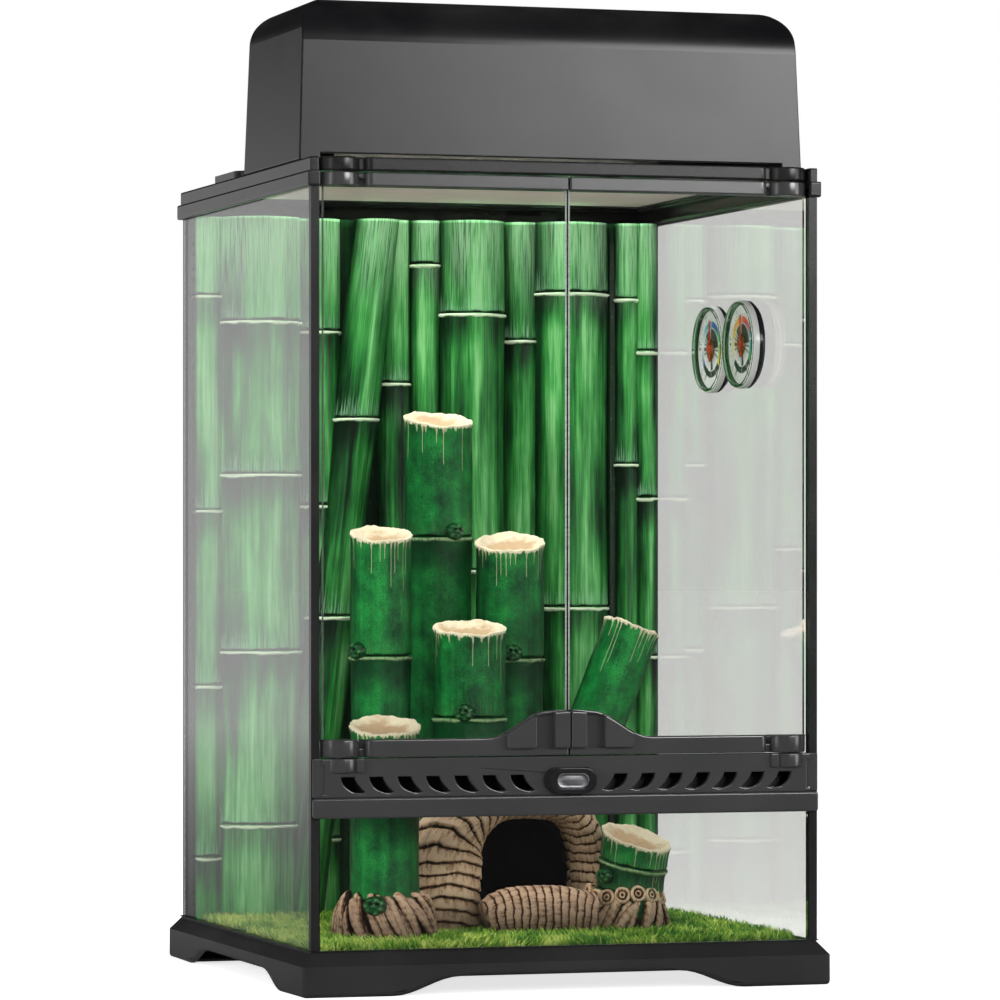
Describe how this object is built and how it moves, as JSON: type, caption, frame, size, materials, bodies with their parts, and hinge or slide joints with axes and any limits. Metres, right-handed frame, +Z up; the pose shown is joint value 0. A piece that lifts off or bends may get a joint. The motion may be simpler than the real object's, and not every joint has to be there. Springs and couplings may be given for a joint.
{
  "type": "glass terrarium with light hood",
  "caption": "Tall front-opening glass terrarium with double doors, ventilation bar, lift-off screen top, compact light hood, bamboo relief background, cane hide, grass mat and gauges.",
  "frame": {"origin": "centre of the base on the surface it stands on", "axes": "+Z up, -Y out of the doors' glass, +X to the right as seen from in front of the doors"},
  "size_m": [0.3, 0.3034, 0.537],
  "materials": {
    "black_plastic": "satin",
    "grey_bar": "satin",
    "tank_glass": "clear",
    "black_seal": "matte",
    "steel": "brushed",
    "reflector_metal": "bright",
    "hood_plastic": "satin",
    "ceramic": "gloss",
    "lamp_glass": "gloss",
    "switch_red": "gloss",
    "bamboo_relief": "satin",
    "cane_stump": "satin",
    "root_brown": "matte",
    "grass": "matte",
    "gauge_black": "gloss",
    "gauge_paper": "matte",
    "gauge_red": "gloss",
    "gauge_lens": "clear",
    "pad_foam": "matte"
  },
  "bodies": {
    "root": {"base_frame": "black_plastic", "floor_glass": "tank_glass", "left_glass": "tank_glass", "right_glass": "tank_glass", "rear_glass": "tank_glass", "lower_front_glass": "tank_glass", "left_corner_strip": "black_plastic", "right_corner_strip": "black_plastic", "rear_seals": "black_seal", "rim_frame": "black_plastic", "vent_bar": "grey_bar", "glass_channel": "grey_bar", "vent_mesh": "steel", "left_hinge_pins": "steel", "right_hinge_pins": "steel", "background_panel": "bamboo_relief", "tall_stump": "cane_stump", "left_stump": "cane_stump", "right_stump": "cane_stump", "middle_stump": "cane_stump", "leaning_stump": "cane_stump", "root_hide": "root_brown", "rhizome_log": "root_brown", "front_left_stump": "cane_stump", "front_right_stump": "cane_stump", "grass_mat": "grass", "near_gauge_case": "gauge_black", "near_gauge_face": "gauge_paper", "near_gauge_lens": "gauge_lens", "far_gauge_case": "gauge_black", "far_gauge_face": "gauge_paper", "far_gauge_lens": "gauge_lens", "gauge_pads": "pad_foam"},
    "lock": {"lock_knob": "black_plastic", "lock_shaft": "steel", "lock_cam": "steel"},
    "left_door": {"left_door_glass": "tank_glass", "left_door_top_rail": "grey_bar", "left_door_handle": "grey_bar"},
    "right_door": {"right_door_glass": "tank_glass", "right_door_top_rail": "grey_bar", "right_door_handle": "grey_bar"},
    "screen": {"screen_frame": "black_plastic", "screen_mesh": "steel"},
    "left_catch": {"left_screen_catch": "black_plastic"},
    "right_catch": {"right_screen_catch": "black_plastic"},
    "left_cover": {"left_inlet_cover": "black_plastic"},
    "right_cover": {"right_inlet_cover": "black_plastic"},
    "hood": {"hood_shell": "hood_plastic", "reflector": "reflector_metal", "reflector_screws": "steel", "left_lamp_socket": "ceramic", "right_lamp_socket": "ceramic", "left_lamp": "lamp_glass", "right_lamp": "lamp_glass", "switch_frame": "black_plastic", "cable_gland": "black_plastic"},
    "rocker": {"switch_rocker": "switch_red"},
    "near_pointer": {"near_gauge_pointer": "gauge_red"},
    "far_pointer": {"far_gauge_pointer": "gauge_red"}
  },
  "joints": [
    {"name": "left_door_hinge", "type": "hinge", "parent": "root", "child": "left_door", "pos_m": [-0.127, -0.1382, 0.1275], "axis": [0, 0, -1], "range_deg": [0, 115]},
    {"name": "right_door_hinge", "type": "hinge", "parent": "root", "child": "right_door", "pos_m": [0.127, -0.1382, 0.1275], "axis": [0, 0, 1], "range_deg": [0, 115]},
    {"name": "lock_turn", "type": "hinge", "parent": "root", "child": "lock", "pos_m": [0, -0.147, 0.114], "axis": [0, -1, 0], "range_deg": [0, 90]},
    {"name": "screen_lift", "type": "slide", "parent": "root", "child": "screen", "axis": [0, 0, 1], "range_m": [0, 0.06]},
    {"name": "hood_lift", "type": "slide", "parent": "screen", "child": "hood", "axis": [0, 0, 1], "range_m": [0, 0.06]},
    {"name": "left_catch_slide", "type": "slide", "parent": "screen", "child": "left_catch", "axis": [-1, 0, 0], "range_m": [0, 0.0026]},
    {"name": "right_catch_slide", "type": "slide", "parent": "screen", "child": "right_catch", "axis": [1, 0, 0], "range_m": [0, 0.0026]},
    {"name": "left_cover_slide", "type": "slide", "parent": "root", "child": "left_cover", "axis": [-1, 0, 0], "range_m": [0, 0.026]},
    {"name": "right_cover_slide", "type": "slide", "parent": "root", "child": "right_cover", "axis": [1, 0, 0], "range_m": [0, 0.026]},
    {"name": "switch_rock", "type": "hinge", "parent": "hood", "child": "rocker", "pos_m": [0.095, -0.005, 0.49], "axis": [1, 0, 0], "range_deg": [0, 12]},
    {"name": "near_pointer_turn", "type": "hinge", "parent": "root", "child": "near_pointer", "pos_m": [0.1332, -0.054, 0.3545], "axis": [-1, 0, 0], "range_deg": [-130, 130]},
    {"name": "far_pointer_turn", "type": "hinge", "parent": "root", "child": "far_pointer", "pos_m": [0.1332, -0.003, 0.3537], "axis": [-1, 0, 0], "range_deg": [-130, 130]}
  ]
}
